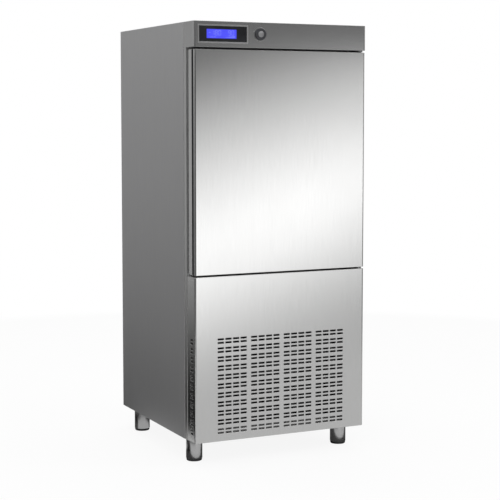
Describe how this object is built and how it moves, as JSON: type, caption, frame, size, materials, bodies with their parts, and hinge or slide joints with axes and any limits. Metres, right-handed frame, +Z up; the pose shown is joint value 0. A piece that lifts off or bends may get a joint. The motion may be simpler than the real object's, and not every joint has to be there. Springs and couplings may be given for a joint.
{
  "type": "blast chiller",
  "caption": "Upright blast chiller: insulated steel cabinet on legs, control head with display and knob, hinged full-width door and a slotted cover over the cooling unit.",
  "frame": {"origin": "on the floor, in the middle of the footprint with the knob counted in", "axes": "+X to the right as seen from the front, -Y out of the front, +Z up"},
  "size_m": [0.79, 0.84, 1.805],
  "materials": {
    "brushed_steel": "fine vertical brushing, satin",
    "satin_steel": "satin, rolled",
    "galvanised_steel": "dull zinc spangle",
    "aluminium_fins": "dull, pressed fins",
    "copper": "drawn copper tube, slightly tarnished",
    "black_enamel": "semi-gloss enamel",
    "black_plastic": "fine moulded grain",
    "grey_plastic": "fine moulded grain",
    "rubber": "matt",
    "foam": "closed-cell foam skin",
    "display_window": "polished, black",
    "lcd": "backlit blue",
    "circuit_board": "solder resist"
  },
  "bodies": {
    "cabinet": {"side_panel_left": "satin_steel", "side_panel_right": "satin_steel", "top_panel": "satin_steel", "back_panel": "galvanised_steel", "rear_service_cover": "galvanised_steel", "base_pan": "galvanised_steel", "electrical_box": "galvanised_steel", "condenser_shroud": "galvanised_steel", "front_frame": "brushed_steel", "inner_liner": "brushed_steel", "control_fascia": "brushed_steel", "display_bezel": "brushed_steel", "hinge_bracket_lower": "brushed_steel", "hinge_bracket_upper": "brushed_steel", "lower_cover": "brushed_steel", "tray_rack_left": "brushed_steel", "tray_rack_right": "brushed_steel", "fan_cowl": "brushed_steel", "fan_guard_lower": "brushed_steel", "fan_guard_upper": "brushed_steel", "condensate_tray": "brushed_steel", "leg_front_left": "brushed_steel", "leg_front_right": "brushed_steel", "leg_rear_left": "brushed_steel", "leg_rear_right": "brushed_steel", "cabinet_foam": "foam", "display_window": "display_window", "lcd_module": "lcd", "control_board": "circuit_board", "power_inlet": "black_plastic", "compressor_mount": "rubber", "evaporator_coil": "aluminium_fins", "condenser_coil": "aluminium_fins", "evaporator_motor_lower": "black_enamel", "evaporator_motor_upper": "black_enamel", "condenser_motor": "black_enamel", "compressor": "black_enamel", "liquid_receiver": "black_enamel", "filter_drier": "copper", "discharge_pipe": "copper", "condenser_outlet_pipe": "copper", "liquid_pipe": "copper", "suction_pipe": "copper"},
    "door": {"door_skin": "brushed_steel", "door_inner_panel": "grey_plastic", "door_foam": "foam", "door_grip": "black_plastic", "door_seal": "rubber", "hinge_bush_lower": "black_plastic", "hinge_bush_upper": "black_plastic"},
    "selector_spindle": {"encoder_spindle": "brushed_steel"},
    "selector_knob": {"knob": "black_plastic", "knob_cap": "brushed_steel"},
    "condenser_rotor": {"condenser_fan": "aluminium_fins"},
    "evaporator_rotor_lower": {"evaporator_fan_lower": "grey_plastic"},
    "evaporator_rotor_upper": {"evaporator_fan_upper": "grey_plastic"},
    "foot_front_left": {"foot_front_left": "rubber"},
    "foot_front_right": {"foot_front_right": "rubber"},
    "foot_rear_left": {"foot_rear_left": "rubber"},
    "foot_rear_right": {"foot_rear_right": "rubber"}
  },
  "joints": [
    {"name": "door_hinge", "type": "hinge", "parent": "cabinet", "child": "door", "pos_m": [0.378, -0.384, 1.24], "axis": [0, 0, 1], "range_deg": [0, 110]},
    {"name": "selector_push", "type": "slide", "parent": "cabinet", "child": "selector_spindle", "axis": [0, 1, 0], "range_m": [0, 0.0015], "stiffness_N_per_m": 900},
    {"name": "selector_turn", "type": "hinge", "parent": "selector_spindle", "child": "selector_knob", "pos_m": [-0.1, -0.415, 1.7575], "axis": [0, 1, 0], "continuous": true},
    {"name": "condenser_fan_spin", "type": "hinge", "parent": "cabinet", "child": "condenser_rotor", "pos_m": [0, -0.1858, 0.32825], "axis": [0, 1, 0], "continuous": true},
    {"name": "evaporator_fan_lower_spin", "type": "hinge", "parent": "cabinet", "child": "evaporator_rotor_lower", "pos_m": [0, 0.1875, 1.0435], "axis": [0, 1, 0], "continuous": true},
    {"name": "evaporator_fan_upper_spin", "type": "hinge", "parent": "cabinet", "child": "evaporator_rotor_upper", "pos_m": [0, 0.1875, 1.4365], "axis": [0, 1, 0], "continuous": true},
    {"name": "foot_front_left_screw", "type": "slide", "parent": "cabinet", "child": "foot_front_left", "axis": [0, 0, -1], "range_m": [0, 0.025]},
    {"name": "foot_front_right_screw", "type": "slide", "parent": "cabinet", "child": "foot_front_right", "axis": [0, 0, -1], "range_m": [0, 0.025]},
    {"name": "foot_rear_left_screw", "type": "slide", "parent": "cabinet", "child": "foot_rear_left", "axis": [0, 0, -1], "range_m": [0, 0.025]},
    {"name": "foot_rear_right_screw", "type": "slide", "parent": "cabinet", "child": "foot_rear_right", "axis": [0, 0, -1], "range_m": [0, 0.025]}
  ]
}
